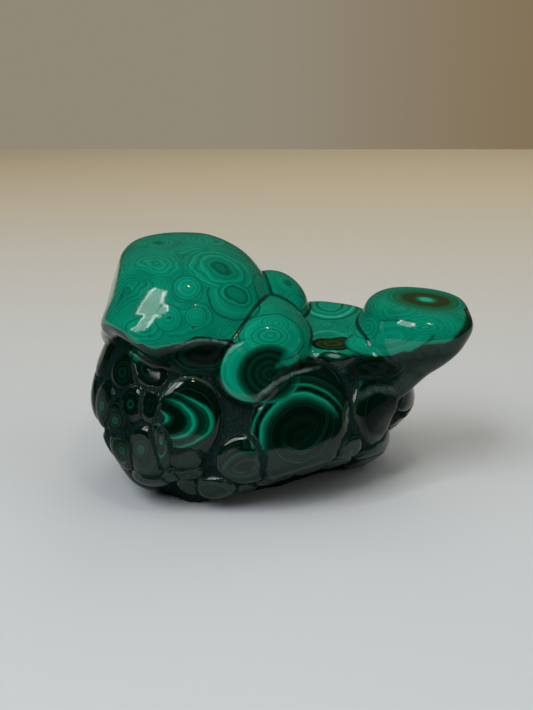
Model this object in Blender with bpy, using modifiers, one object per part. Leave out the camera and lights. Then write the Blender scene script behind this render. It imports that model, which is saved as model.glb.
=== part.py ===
"""A polished malachite freeform: fused botryoidal lobes below a polished crown and a raised tip.

Sizes are in millimetres and the finished mesh is scaled to metres. X runs along the stone from the
tall crown to the tip, Y runs from the front face to the back, Z is up and the base lies at Z = 0.
Every shape is a signed distance field, negative inside, and the surface is where the field is zero.
"""
import math
import random

import bmesh
import bpy
import numpy as np
from mathutils import Matrix, Vector

NAME = "malachite"
MM = 0.001

# ------------------------------------------------------------------ driving dimensions
CENTRE_X = -1.45            # middle of the stone's box in the frame that the shapes are placed in
CENTRE_Y = 1.64
CORE = (6.0, 0.0, 34.0)     # the outside faces away from this point
REACH = 110.0               # well outside the stone
SPHERE_STEPS = 7            # subdivisions of the sphere that is wrapped onto the stone
VOXEL = 0.9                 # spacing of the even mesh, before faces are merged
SETTLE_ROUNDS = 8           # times that the even mesh is relaxed and put back on the surface
FACES = 9200                # triangles of the finished solid

BLEND_GROUPS = 1.0          # roundings where the lower and the upper masses, and the lobes, run
BLEND_LOBES = 0.5           # together
CREASE_LOBES = 0.7          # roundings where lobes and upper masses rise from the rough matrix
CREASE_UPPER = 0.8
INSET = 1.3                 # depth of the rough matrix below the lobes
LOBE_PROUD = 0.4            # lobes are ground off this far outside the masses
LOBE_EDGE = 0.9             # rounding of the ground lobes' edges
FISSURE_EDGE = 1.0          # rounding of the fissure's edges
LOBE_RANGE = 4.0            # a lobe shapes nothing farther than this from its outermost point

# facets: a point on the facet, its outward normal, the rounding of its edge
UNDERCUT_FRONT = ((6, -3.5, 0), (0.30, -0.50, -0.81), 4)
UNDERCUT_CORNER = ((-16, -10.5, 0), (0.1, -0.58, -0.81), 5)
UNDERCUT_LEFT = ((-42, 0, 0), (-0.72, -0.1, -0.68), 9)
UNDERCUT_RIGHT = ((9, 2.5, 0), (0.5, -0.5, -0.71), 4)
UNDERCUT_TIP = ((47, -12, 39.2), (0.75, 0.1, -0.65), 5)
CROWN_LEFT = ((-52.8, 0, 64), (-0.95, -0.1, 0.28), 5)
CROWN_TOP = ((-33, 8, 77.8), (0, -0.12, 1), 5)
CROWN_RIGHT = ((-15, 8, 77.2), (0.5, 0, 0.865), 5)
CROWN_CHIN = ((-34.2, -29, 47.6), (-0.675, -0.5, -0.75), 2)
CROWN_BROW = ((-24, -30, 53.5), (0.1, -0.62, -0.78), 2)
CHIN_RIGHT = ((-30.5, -29, 50), (0.75, -0.4, -0.5), 2)
HIGH_FRONT = ((-2, -26, 44), (0.1, -1, 0.14), 3)
CRESCENT_CUT = ((-9, -30.2, 41), (0.12, -1, 0.3), 2)
SADDLE_TOP = ((17, 15, 55.6), (0, -0.2, 1), 3)
SADDLE_BED = ((17, 15, 53.5), (0, -0.2, 1), 3)
TIP_TOP = ((45, 3, 60.6), (0.10, -0.08, 1), 4)
TIP_END = ((58.6, 3, 55), (0.95, 0, 0.1), 2)
TIP_FRONT = ((34, -19, 45), (0.1, -0.7, -0.7), 4)

# masses: centre, radii, rounding where it joins the masses before it, facets
LOWER_MASSES = {
    "left": ((-30, 1, 18), (31.8, 33.5, 47), 5, (UNDERCUT_LEFT, UNDERCUT_CORNER)),
    "belly": ((-4, 1, 15), (39, 34, 41), 5, (UNDERCUT_FRONT, SADDLE_BED)),
    "right": ((18, 5, 15), (26.3, 25.5, 42), 5, (UNDERCUT_RIGHT, SADDLE_BED)),
}
UPPER_MASSES = {
    "crown": ((-32, 3, 52), (30, 33.5, 31), 3,
              (CROWN_LEFT, CROWN_TOP, CROWN_RIGHT, CROWN_CHIN, CROWN_BROW)),
    "chin": ((-40, -12, 54), (14, 19, 11), 3.5, (CROWN_CHIN, CHIN_RIGHT)),
    "wall": ((-27, -6, 46), (15, 20.5, 13), 3.5, ()),
    "high": ((-6, -7, 48), (15, 21.5, 14.5), 1.5, (HIGH_FRONT,)),
    "crescent": ((-10.5, -13, 44), (12.5, 21, 12.5), 3, (CRESCENT_CUT,)),
    "shoulder": ((-3.6, 11, 53.4), (12.5, 13, 13.5), 1.2, ()),
    "saddle": ((12, 4, 43.5), (24, 21, 16), 2, (SADDLE_TOP,)),
    "neck": ((33, 0, 40), (15, 15, 14), 3.5, (UNDERCUT_TIP,)),
    "tip": ((43.7, -1, 50), (19.5, 19, 20), 2, (UNDERCUT_TIP, TIP_TOP, TIP_END, TIP_FRONT)),
}

# lobes on the front face: X and Z of the middle, half width, half height, thickness,
# height above the masses before grinding, lean to the right in degrees
FRONT_LOBES = {
    "great": (6, 30.5, 15.6, 19.8, 10, 3.1, 24),
    "heart": (-27.3, 32, 11.2, 13.8, 9, 2.9, 0),
    "heart_foot": (-28.5, 20.5, 5.5, 4.6, 5, 2.3, 0),
    "middle": (-12.2, 19.6, 10.2, 8.6, 8, 2.8, -10),
    "cheek": (30.5, 27.2, 10.6, 12.6, 8, 2.9, 0),
    "cheek_foot": (30, 13, 8, 6.5, 5, 2.2, 0),
    "shelf": (27, 42, 12, 5, 6, 2.2, -8),
    "bead": (20.5, 19, 4.8, 4.8, 4.2, 2.3, 0),
    "left_high": (-55, 46, 6.8, 10.2, 6, 2.5, 0),
    "left_shelf": (-47.5, 43, 6.4, 5.8, 5, 2.3, 20),
    "lens": (-39.8, 45, 7.4, 4.8, 4.6, 2.3, 38),
    "left_eye": (-54.5, 32, 6.2, 8, 5.6, 2.3, 0),
    "left_cheek": (-49.8, 29.5, 5.6, 6.6, 4.8, 2.2, 0),
    "oval": (-44.6, 35, 5, 6, 4.6, 2.2, 0),
    "pip": (-38.8, 35.5, 3.6, 5.6, 3.4, 2, 0),
    "left_low": (-48.8, 20, 6, 7.4, 5.6, 2.3, 0),
    "left_foot": (-40.8, 20.5, 5.8, 9.4, 5.6, 2.4, -8),
    "strip": (-35.6, 25.5, 3.4, 9.6, 4, 1.9, -4),
    "sole": (-39.5, 11, 6.2, 4.8, 4.4, 2.1, 0),
    "pea": (-33.3, 13.4, 2.9, 2.7, 2.6, 1.9, 0),
    "bean": (-27.9, 14.6, 4.6, 2.8, 3, 2, 0),
    "drop": (-28.4, 8.6, 3.8, 4, 3, 2, 0),
    "toe_left": (-20.4, 8.2, 6.4, 5, 4, 2.2, 0),
    "toe_middle": (-11.5, 6.8, 5.4, 4.4, 4, 2, 0),
    "toe_right": (-2, 9.8, 7.2, 4.6, 4, 2.1, -12),
    "heel_left": (8.5, 11.5, 6, 4.4, 4, 2, -12),
    "heel_right": (17.2, 10.6, 5.6, 4, 3.6, 2, 0),
    "lip": (15.5, 46.5, 6, 2.4, 3, 2.2, 5),
    "crown_dome": (-27.4, 70.7, 4.2, 4.6, 4, 0.7, 0),
    "crown_bead": (-24.8, 62.9, 3.4, 3.4, 3, 0.6, 0),
    "crown_knob": (-32, 62.6, 4.2, 4.2, 4, 0.6, 0),
    "crown_eye": (-37.8, 60, 7, 5.5, 6, 0.7, 0),
}

# the fissure below the crown: points on its line and its half width there
FISSURE = (
    ((-60, 4, 54), 1.0),
    ((-57, -8, 53), 1.0),
    ((-50, -22, 49), 0.9),
    ((-42, -31, 45), 0.9),
    ((-34, -34, 41), 1.0),
    ((-24, -33, 42), 0.9),
)

# lobes crowded onto the sides and the back
SCATTER_SEED = 5
SCATTER_SIZES = (10.5, 9, 7.5, 6.5, 5.5, 4.5, 3.6, 3.0)     # radii tried, largest first
SCATTER_TRIES = 260         # places tried for each size
SCATTER_SPAN = (-25, 15)    # X of the upright line that the places are cast from
SCATTER_RISE = (1, 50)      # Z of the places
SCATTER_SPACING = 0.8       # how closely neighbours crowd, as a share of their radii
SCATTER_OVERLAP = 1.28      # how far a lobe spreads past its radius
SCATTER_DEPTH = 0.8         # thickness as a share of the radius
SCATTER_CLEAR = 0.3         # distance kept from the upper masses, as a share of the radius
SCATTER_LIFT = 0.45         # height kept above the base, as a share of the radius
FRONT_FACING = 0.15         # places that face the front more than this are left to the front lobes
CAST_MISS = 0.2             # a ray that ends farther than this from the surface has missed


# ------------------------------------------------------------------ distance fields
def ellipsoid(points, centre, radii, axes=None):
    """Distance to an ellipsoid; axes holds its own X, Y and Z directions in its columns."""
    local = points - np.array(centre, float)
    if axes is not None:
        local = local @ axes
    radii = np.array(radii, float)
    near = np.linalg.norm(local / radii, axis=1)
    slope = np.linalg.norm(local / radii ** 2, axis=1)
    return near * (near - 1) / np.maximum(slope, 1e-6)


def plane(points, origin, normal):
    normal = np.array(normal, float)
    return (points - np.array(origin, float)) @ (normal / np.linalg.norm(normal))


def soft_union(first, second, rounding):
    overlap = np.maximum(rounding - np.abs(first - second), 0) / rounding
    return np.minimum(first, second) - overlap * overlap * rounding / 4


def soft_cut(first, second, rounding):
    return -soft_union(-first, -second, rounding)


def groove(points, route):
    """Distance to a bent rod whose thickness changes from point to point."""
    nearest = np.full(len(points), REACH)
    for (start, start_radius), (end, end_radius) in zip(route[:-1], route[1:]):
        start = np.array(start, float)
        along = np.array(end, float) - start
        share = np.clip((points - start) @ along / (along @ along), 0, 1)
        radius = start_radius + (end_radius - start_radius) * share
        distance = np.linalg.norm(points - start - share[:, None] * along, axis=1) - radius
        nearest = np.minimum(nearest, distance)
    return nearest


def masses(points, table):
    together = None
    for centre, radii, rounding, facets in table.values():
        body = ellipsoid(points, centre, radii)
        for origin, normal, edge in facets:
            body = soft_cut(body, plane(points, origin, normal), edge)
        together = body if together is None else soft_union(together, body, rounding)
    return together


def lower(points):
    return masses(points, LOWER_MASSES)


def upper(points):
    return masses(points, UPPER_MASSES)


def both(points):
    return soft_union(lower(points), upper(points), BLEND_GROUPS)


def stone(points, lobes):
    """The whole stone: crown and tip, rough matrix, ground lobes and the fissure."""
    lower_body = lower(points)
    upper_body = upper(points)
    skin = soft_union(lower_body, upper_body, BLEND_GROUPS)
    knobs = np.full(len(points), REACH)
    for centre, axes, radii in lobes:
        near = np.linalg.norm(points - centre, axis=1) < max(radii) + LOBE_RANGE
        knob = ellipsoid(points[near], centre, radii, axes)
        knobs[near] = soft_union(knobs[near], knob, BLEND_LOBES)
    knobs = soft_cut(knobs, skin - LOBE_PROUD, LOBE_EDGE)
    body = soft_union(lower_body + INSET, knobs, CREASE_LOBES)
    body = soft_union(body, upper_body, CREASE_UPPER)
    return soft_cut(body, -groove(points, FISSURE), FISSURE_EDGE)


def cast(origins, directions, field, steps=60):
    """Follow rays until they meet the field's surface; gives the points reached."""
    distance = np.zeros(len(origins))
    for _ in range(steps):
        distance += 0.85 * field(origins + directions * distance[:, None])
    return origins + directions * distance[:, None]


def outward(points, field, reach=0.3):
    """Unit normals of the field's surface at the points."""
    slopes = [field(points + step) - field(points - step) for step in np.eye(3) * reach]
    normals = np.stack(slopes, axis=1)
    return normals / np.linalg.norm(normals, axis=1, keepdims=True)


# ------------------------------------------------------------------ lobes
def lobe(place, normal, half_width, half_height, thickness, proud, lean):
    """An ellipsoid sunk in the surface at a place and turned with it: centre, axes, radii."""
    across = np.cross((0, 0, 1), normal)
    across /= np.linalg.norm(across)
    upward = np.cross(normal, across)
    turn = math.radians(lean)
    wide = across * math.cos(turn) - upward * math.sin(turn)
    tall = across * math.sin(turn) + upward * math.cos(turn)
    centre = place + normal * (proud - thickness)
    return centre, np.stack([wide, tall, normal], axis=1), (half_width, half_height, thickness)


def front_lobes():
    places = np.array([(spec[0], -REACH, spec[1]) for spec in FRONT_LOBES.values()], float)
    ahead = np.tile((0.0, 1.0, 0.0), (len(places), 1))
    places = cast(places, ahead, both)
    normals = outward(places, both)
    return [lobe(place, normal, *spec[2:])
            for place, normal, spec in zip(places, normals, FRONT_LOBES.values())]


def scattered_lobes(placed):
    """Crowd the hidden sides with lobes, the largest first, each where none is yet."""
    chance = random.Random(SCATTER_SEED)
    tries = SCATTER_TRIES * len(SCATTER_SIZES)
    starts = np.array([(chance.uniform(*SCATTER_SPAN), 0, chance.uniform(*SCATTER_RISE))
                       for _ in range(tries)])
    angles = np.array([chance.uniform(0, 2 * math.pi) for _ in range(tries)])
    headings = np.stack([np.cos(angles), np.sin(angles), np.zeros(tries)], axis=1)
    places = cast(starts, headings, lower)
    missed = ~(np.abs(lower(places)) < CAST_MISS)
    places[missed] = CORE
    normals = outward(places, lower)
    clearance = upper(places)
    taken = [(centre + axes[:, 2] * radii[2], 0.4 * (radii[0] + radii[1]))
             for centre, axes, radii in placed]
    made = []
    for number in range(tries):
        size = SCATTER_SIZES[number // SCATTER_TRIES]
        place, normal = places[number], normals[number]
        radius = size * chance.uniform(0.9, 1.1)
        spread = SCATTER_OVERLAP * radius
        aspect = chance.uniform(0.85, 1.18)
        lean = chance.uniform(0, 180)
        proud = chance.uniform(1.3, 2.2) * min(1, 0.4 + radius / 10)
        if missed[number] or clearance[number] < SCATTER_CLEAR * size:
            continue
        if place[2] < SCATTER_LIFT * size or -normal[1] > FRONT_FACING:
            continue
        crowded = any(np.linalg.norm(place - other) < SCATTER_SPACING * (radius + reach)
                      for other, reach in taken)
        if crowded:
            continue
        taken.append((place, radius))
        made.append(lobe(place, normal, spread * aspect, spread / aspect,
                         SCATTER_DEPTH * radius, proud, lean))
    return made


# ------------------------------------------------------------------ mesh
def clear_scene():
    for item in list(bpy.data.objects):
        bpy.data.objects.remove(item, do_unlink=True)


def collection(name):
    group = bpy.data.collections.new(name)
    bpy.context.scene.collection.children.link(group)
    return group


def polished_malachite():
    material = bpy.data.materials.new("polished_malachite")
    material.use_nodes = True
    surface = material.node_tree.nodes["Principled BSDF"]
    surface.inputs["Base Color"].default_value = (0.012, 0.19, 0.12, 1)
    surface.inputs["Roughness"].default_value = 0.16
    surface.inputs["Metallic"].default_value = 0
    surface.inputs["IOR"].default_value = 1.75
    return material


def wrapped_sphere(field):
    """A sphere round the core, with each corner drawn in until it meets the field's surface."""
    shape = bmesh.new()
    bmesh.ops.create_icosphere(shape, subdivisions=SPHERE_STEPS, radius=1)
    rays = np.array([corner.co for corner in shape.verts])
    rays /= np.linalg.norm(rays, axis=1, keepdims=True)
    places = cast(np.array(CORE) + rays * REACH, -rays, field)
    for corner, place in zip(shape.verts, places):
        corner.co = Vector(place)
    mesh = bpy.data.meshes.new("wrapping")
    shape.to_mesh(mesh)
    shape.free()
    return mesh


def evenly_meshed(mesh, group):
    """The same skin on an even grid, which reaches into the hollows that a sphere only spans."""
    wrapping = bpy.data.objects.new("wrapping", mesh)
    group.objects.link(wrapping)
    grid = wrapping.modifiers.new("even grid", "REMESH")
    grid.mode = "VOXEL"
    grid.voxel_size = VOXEL
    depsgraph = bpy.context.evaluated_depsgraph_get()
    even = bpy.data.meshes.new_from_object(wrapping.evaluated_get(depsgraph))
    bpy.data.objects.remove(wrapping)
    return even


def settle(mesh, field):
    """Relax the corners over the surface and put them back on it, then turn the mesh to metres."""
    places = np.array([corner.co for corner in mesh.vertices])
    ends = np.array([edge.vertices for edge in mesh.edges])
    neighbours = np.bincount(ends.ravel(), minlength=len(places))[:, None]
    for _ in range(SETTLE_ROUNDS):
        middle = np.zeros_like(places)
        np.add.at(middle, ends[:, 0], places[ends[:, 1]])
        np.add.at(middle, ends[:, 1], places[ends[:, 0]])
        places = 0.5 * places + 0.5 * middle / neighbours
        places -= field(places)[:, None] * outward(places, field)
    places = (places - (CENTRE_X, CENTRE_Y, 0)) * MM
    mesh.vertices.foreach_set("co", places.ravel())
    mesh.update()


def grind_flat(body, cutters):
    """Cut off everything below Z = 0, which leaves the flat base."""
    width = 2 * REACH * MM
    depth = 20 * MM
    shape = bmesh.new()
    bmesh.ops.create_cube(shape, size=1)
    bmesh.ops.scale(shape, vec=(width, width, depth), verts=shape.verts)
    bmesh.ops.transform(shape, matrix=Matrix.Translation((0, 0, -depth / 2)), verts=shape.verts)
    mesh = bpy.data.meshes.new("grinding_block")
    shape.to_mesh(mesh)
    shape.free()
    block = bpy.data.objects.new("grinding_block", mesh)
    block.hide_render = True
    block.display_type = "WIRE"
    cutters.objects.link(block)
    cut = body.modifiers.new("flat base", "BOOLEAN")
    cut.operation = "DIFFERENCE"
    cut.solver = "EXACT"
    cut.object = block


def main():
    clear_scene()
    stones = collection("malachite specimen")
    cutters = collection("cutters")
    lobes = front_lobes()
    lobes += scattered_lobes(lobes)

    def field(points):
        return stone(points, lobes)

    skin = evenly_meshed(wrapped_sphere(field), cutters)
    settle(skin, field)
    skin.name = NAME
    body = bpy.data.objects.new(NAME, skin)
    stones.objects.link(body)
    body.data.materials.append(polished_malachite())
    thin = body.modifiers.new("fewer faces", "DECIMATE")
    thin.ratio = FACES / (2 * len(skin.polygons))
    grind_flat(body, cutters)
    body.data.shade_smooth()


main()
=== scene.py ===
"""A polished malachite freeform on a pale floor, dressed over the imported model.

The stone's shapes are signed distance fields in millimetres, in the frame that its source places
them in; the finished skin is moved to the row frame and turned to metres. Its colours are layers
of growth rings: rings in each lobe, then eyes that are placed one by one.
"""

import math
import random

import bpy
import numpy as np
from mathutils import Matrix, Vector, noise

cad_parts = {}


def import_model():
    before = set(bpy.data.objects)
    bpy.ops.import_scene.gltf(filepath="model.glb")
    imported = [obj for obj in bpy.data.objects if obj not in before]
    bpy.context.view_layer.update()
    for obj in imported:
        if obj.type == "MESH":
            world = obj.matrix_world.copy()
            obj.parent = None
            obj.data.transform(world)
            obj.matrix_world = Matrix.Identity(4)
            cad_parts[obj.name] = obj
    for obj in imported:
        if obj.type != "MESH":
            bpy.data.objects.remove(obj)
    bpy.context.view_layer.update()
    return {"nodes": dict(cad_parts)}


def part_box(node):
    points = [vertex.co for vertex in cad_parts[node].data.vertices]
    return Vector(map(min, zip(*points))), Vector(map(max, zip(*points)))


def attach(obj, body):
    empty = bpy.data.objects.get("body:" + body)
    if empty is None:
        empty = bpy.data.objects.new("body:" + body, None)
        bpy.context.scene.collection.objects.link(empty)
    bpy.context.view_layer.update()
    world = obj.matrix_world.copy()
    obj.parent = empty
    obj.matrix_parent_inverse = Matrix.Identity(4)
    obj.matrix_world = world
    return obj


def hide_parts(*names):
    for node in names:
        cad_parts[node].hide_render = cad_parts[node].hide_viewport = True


NAME = "malachite"
MM = 0.001

# ---------------- the stone's form
CENTRE_X = -1.45  # the row frame's origin in the frame that the shapes are placed in
CENTRE_Y = 1.64
CORE = (6.0, 0.0, 34.0)  # a place inside that stands in for rays that miss
REACH = 110.0  # well outside the stone
VOXEL = 0.66  # spacing of the skin's mesh
SETTLE_ROUNDS = 6  # times that the mesh is relaxed and put back on the surface
BASE_EDGE = 0.7  # rounding of the ground base's edge
BOX_GAP = 0.02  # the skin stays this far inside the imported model's box
POLISH_WAVE = 0.22  # height of the hand polish's slight waves, and their length
POLISH_LENGTH = 9.0
MATRIX_DEPTH = 0.8  # the rough matrix begins this far below the polished skin
MATRIX_FADE = 0.6  # and is at its roughest this much deeper
GRAIN = 0.28  # height of the matrix's grains
GRAIN_SCALES = (0.8, 1.9)  # noise scales of its coarse and its fine grains, per millimetre
FINE_GRAIN = 0.6  # height of the fine grains, as a share of the coarse ones'
PIT = 1.1  # depth of its pits, their scale per millimetre and their size
PIT_SCALE = 0.5
PIT_RADIUS = 0.4

BLEND_GROUPS = 1.0  # roundings where the lower and the upper masses, and the lobes, run
BLEND_LOBES = 0.5  # together
CREASE_LOBES = 0.7  # roundings where lobes and upper masses rise from the rough matrix
CREASE_UPPER = 0.8
INSET = 1.3  # depth of the rough matrix below the lobes
LOBE_PROUD = 0.4  # lobes are ground off this far outside the masses
LOBE_EDGE = 0.9  # rounding of the ground lobes' edges
FISSURE_EDGE = 1.0  # rounding of the fissure's edges
LOBE_RANGE = 4.0  # a lobe shapes nothing farther than this from its outermost point
CAST_STEPS = 60  # steps of a ray, and the share of the distance that each one takes
CAST_STRIDE = 0.85
SLOPE_REACH = 0.3  # half the span that the normals are measured over

# facets: a point on the facet, its outward normal, the rounding of its edge
UNDERCUT_FRONT = ((6, -3.5, 0), (0.30, -0.50, -0.81), 4)
UNDERCUT_CORNER = ((-16, -10.5, 0), (0.1, -0.58, -0.81), 5)
UNDERCUT_LEFT = ((-42, 0, 0), (-0.72, -0.1, -0.68), 9)
UNDERCUT_RIGHT = ((9, 2.5, 0), (0.5, -0.5, -0.71), 4)
UNDERCUT_TIP = ((47, -12, 39.2), (0.75, 0.1, -0.65), 5)
CROWN_LEFT = ((-52.8, 0, 64), (-0.95, -0.1, 0.28), 5)
CROWN_TOP = ((-33, 8, 77.8), (0, -0.12, 1), 5)
CROWN_RIGHT = ((-15, 8, 77.2), (0.5, 0, 0.865), 5)
CROWN_CHIN = ((-34.2, -29, 47.6), (-0.675, -0.5, -0.75), 2)
CROWN_BROW = ((-24, -30, 53.5), (0.1, -0.62, -0.78), 2)
CHIN_RIGHT = ((-30.5, -29, 50), (0.75, -0.4, -0.5), 2)
HIGH_FRONT = ((-2, -26, 44), (0.1, -1, 0.14), 3)
CRESCENT_CUT = ((-9, -30.2, 41), (0.12, -1, 0.3), 2)
SADDLE_TOP = ((17, 15, 55.6), (0, -0.2, 1), 3)
SADDLE_BED = ((17, 15, 53.5), (0, -0.2, 1), 3)
TIP_TOP = ((45, 3, 60.6), (0.10, -0.08, 1), 4)
TIP_END = ((58.6, 3, 55), (0.95, 0, 0.1), 2)
TIP_FRONT = ((34, -19, 45), (0.1, -0.7, -0.7), 4)

# masses: centre, radii, rounding where it joins the masses before it, facets
LOWER_MASSES = {
    "left": ((-30, 1, 18), (31.8, 33.5, 47), 5, (UNDERCUT_LEFT, UNDERCUT_CORNER)),
    "belly": ((-4, 1, 15), (39, 34, 41), 5, (UNDERCUT_FRONT, SADDLE_BED)),
    "right": ((18, 5, 15), (26.3, 25.5, 42), 5, (UNDERCUT_RIGHT, SADDLE_BED)),
}
UPPER_MASSES = {
    "crown": ((-32, 3, 52), (30, 33.5, 31), 3,
              (CROWN_LEFT, CROWN_TOP, CROWN_RIGHT, CROWN_CHIN, CROWN_BROW)),
    "chin": ((-40, -12, 54), (14, 19, 11), 3.5, (CROWN_CHIN, CHIN_RIGHT)),
    "wall": ((-27, -6, 46), (15, 20.5, 13), 3.5, ()),
    "high": ((-6, -7, 48), (15, 21.5, 14.5), 1.5, (HIGH_FRONT,)),
    "crescent": ((-10.5, -13, 44), (12.5, 21, 12.5), 3, (CRESCENT_CUT,)),
    "shoulder": ((-3.6, 11, 53.4), (12.5, 13, 13.5), 1.2, ()),
    "saddle": ((12, 4, 43.5), (24, 21, 16), 2, (SADDLE_TOP,)),
    "neck": ((33, 0, 40), (15, 15, 14), 3.5, (UNDERCUT_TIP,)),
    "tip": ((43.7, -1, 50), (19.5, 19, 20), 2, (UNDERCUT_TIP, TIP_TOP, TIP_END, TIP_FRONT)),
}

# lobes on the front face: X and Z of the middle, half width, half height, thickness,
# height above the masses before grinding, lean to the right in degrees
FRONT_LOBES = {
    "great": (6, 30.5, 15.6, 19.8, 10, 3.1, 24),
    "heart": (-27.3, 32, 11.2, 13.8, 9, 2.9, 0),
    "heart_foot": (-28.5, 20.5, 5.5, 4.6, 5, 2.3, 0),
    "middle": (-12.2, 19.6, 10.2, 8.6, 8, 2.8, -10),
    "cheek": (30.5, 27.2, 10.6, 12.6, 8, 2.9, 0),
    "cheek_foot": (30, 13, 8, 6.5, 5, 2.2, 0),
    "shelf": (27, 42, 12, 5, 6, 2.2, -8),
    "bead": (20.5, 19, 4.8, 4.8, 4.2, 2.3, 0),
    "left_high": (-55, 46, 6.8, 10.2, 6, 2.5, 0),
    "left_shelf": (-47.5, 43, 6.4, 5.8, 5, 2.3, 20),
    "lens": (-39.8, 45, 7.4, 4.8, 4.6, 2.3, 38),
    "left_eye": (-54.5, 32, 6.2, 8, 5.6, 2.3, 0),
    "left_cheek": (-49.8, 29.5, 5.6, 6.6, 4.8, 2.2, 0),
    "oval": (-44.6, 35, 5, 6, 4.6, 2.2, 0),
    "pip": (-38.8, 35.5, 3.6, 5.6, 3.4, 2, 0),
    "left_low": (-48.8, 20, 6, 7.4, 5.6, 2.3, 0),
    "left_foot": (-40.8, 20.5, 5.8, 9.4, 5.6, 2.4, -8),
    "strip": (-35.6, 25.5, 3.4, 9.6, 4, 1.9, -4),
    "sole": (-39.5, 11, 6.2, 4.8, 4.4, 2.1, 0),
    "pea": (-33.3, 13.4, 2.9, 2.7, 2.6, 1.9, 0),
    "bean": (-27.9, 14.6, 4.6, 2.8, 3, 2, 0),
    "drop": (-28.4, 8.6, 3.8, 4, 3, 2, 0),
    "toe_left": (-20.4, 8.2, 6.4, 5, 4, 2.2, 0),
    "toe_middle": (-11.5, 6.8, 5.4, 4.4, 4, 2, 0),
    "toe_right": (-2, 9.8, 7.2, 4.6, 4, 2.1, -12),
    "heel_left": (8.5, 11.5, 6, 4.4, 4, 2, -12),
    "heel_right": (17.2, 10.6, 5.6, 4, 3.6, 2, 0),
    "lip": (15.5, 46.5, 6, 2.4, 3, 2.2, 5),
    "crown_dome": (-27.4, 70.7, 4.2, 4.6, 4, 0.7, 0),
    "crown_bead": (-24.8, 62.9, 3.4, 3.4, 3, 0.6, 0),
    "crown_knob": (-32, 62.6, 4.2, 4.2, 4, 0.6, 0),
    "crown_eye": (-37.8, 60, 7, 5.5, 6, 0.7, 0),
}

# the fissure below the crown: points on its line and its half width there
FISSURE = (
    ((-60, 4, 54), 1.0),
    ((-57, -8, 53), 1.0),
    ((-50, -22, 49), 0.9),
    ((-42, -31, 45), 0.9),
    ((-34, -34, 41), 1.0),
    ((-24, -33, 42), 0.9),
)

# lobes crowded onto the sides and the back
SCATTER_SEED = 5
SCATTER_SIZES = (10.5, 9, 7.5, 6.5, 5.5, 4.5, 3.6, 3.0)  # radii tried, largest first
SCATTER_TRIES = 260  # places tried for each size
SCATTER_SPAN = (-25, 15)  # X of the upright line that the places are cast from
SCATTER_RISE = (1, 50)  # Z of the places
SCATTER_SPACING = 0.8  # how closely neighbours crowd, as a share of their radii
SCATTER_OVERLAP = 1.28  # how far a lobe spreads past its radius
SCATTER_DEPTH = 0.8  # thickness as a share of the radius
SCATTER_CLEAR = 0.3  # distance kept from the upper masses, as a share of the radius
SCATTER_LIFT = 0.45  # height kept above the base, as a share of the radius
SCATTER_SPREAD = (0.9, 1.1)  # a lobe's radius, as a share of the size tried
SCATTER_ASPECT = (0.85, 1.18)  # its width and height, as shares of its own mean
SCATTER_PROUD = (1.3, 2.2)  # its height above the masses before grinding
SMALL_PROUD = 0.4  # small lobes have this share of that height, and more with their radius,
FULL_PROUD = 10.0  # by the whole height for each such radius, until they have it all
FRONT_REACH = 0.4  # reach of a front lobe, as a share of its two half sizes together
FRONT_FACING = 0.15  # places that face the front more than this are left to the front lobes
CAST_MISS = 0.2  # a ray that ends farther than this from the surface has missed


# ---------------- distance fields
def ellipsoid(points, centre, radii, axes=None):
    """Distance to an ellipsoid; axes holds its own X, Y and Z directions in its columns."""
    local = points - np.array(centre, float)
    if axes is not None:
        local = local @ axes
    radii = np.array(radii, float)
    near = np.linalg.norm(local / radii, axis=1)
    slope = np.linalg.norm(local / radii ** 2, axis=1)
    return near * (near - 1) / np.maximum(slope, 1e-6)


def plane(points, origin, normal):
    normal = np.array(normal, float)
    return (points - np.array(origin, float)) @ (normal / np.linalg.norm(normal))


def soft_union(first, second, rounding):
    overlap = np.maximum(rounding - np.abs(first - second), 0) / rounding
    return np.minimum(first, second) - overlap * overlap * rounding / 4


def soft_cut(first, second, rounding):
    return -soft_union(-first, -second, rounding)


def groove(points, route):
    """Distance to a bent rod whose thickness changes from point to point."""
    nearest = np.full(len(points), REACH)
    for (start, start_radius), (end, end_radius) in zip(route[:-1], route[1:]):
        start = np.array(start, float)
        along = np.array(end, float) - start
        share = np.clip((points - start) @ along / (along @ along), 0, 1)
        radius = start_radius + (end_radius - start_radius) * share
        distance = np.linalg.norm(points - start - share[:, None] * along, axis=1) - radius
        nearest = np.minimum(nearest, distance)
    return nearest


def masses(points, table):
    together = None
    for centre, radii, rounding, facets in table.values():
        body = ellipsoid(points, centre, radii)
        for origin, normal, edge in facets:
            body = soft_cut(body, plane(points, origin, normal), edge)
        together = body if together is None else soft_union(together, body, rounding)
    return together


def lower(points):
    return masses(points, LOWER_MASSES)


def upper(points):
    return masses(points, UPPER_MASSES)


def both(points):
    return soft_union(lower(points), upper(points), BLEND_GROUPS)


def stone(points, lobes):
    """The whole stone: crown and tip, rough matrix, ground lobes and the fissure."""
    lower_body = lower(points)
    upper_body = upper(points)
    skin = soft_union(lower_body, upper_body, BLEND_GROUPS)
    knobs = np.full(len(points), REACH)
    for centre, axes, radii in lobes:
        near = np.linalg.norm(points - centre, axis=1) < max(radii) + LOBE_RANGE
        knob = ellipsoid(points[near], centre, radii, axes)
        knobs[near] = soft_union(knobs[near], knob, BLEND_LOBES)
    knobs = soft_cut(knobs, skin - LOBE_PROUD, LOBE_EDGE)
    body = soft_union(lower_body + INSET, knobs, CREASE_LOBES)
    body = soft_union(body, upper_body, CREASE_UPPER)
    return soft_cut(body, -groove(points, FISSURE), FISSURE_EDGE)


def cast(origins, directions, field):
    """Follow rays until they meet the field's surface; gives the points reached."""
    distance = np.zeros(len(origins))
    for _ in range(CAST_STEPS):
        distance += CAST_STRIDE * field(origins + directions * distance[:, None])
    return origins + directions * distance[:, None]


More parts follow.
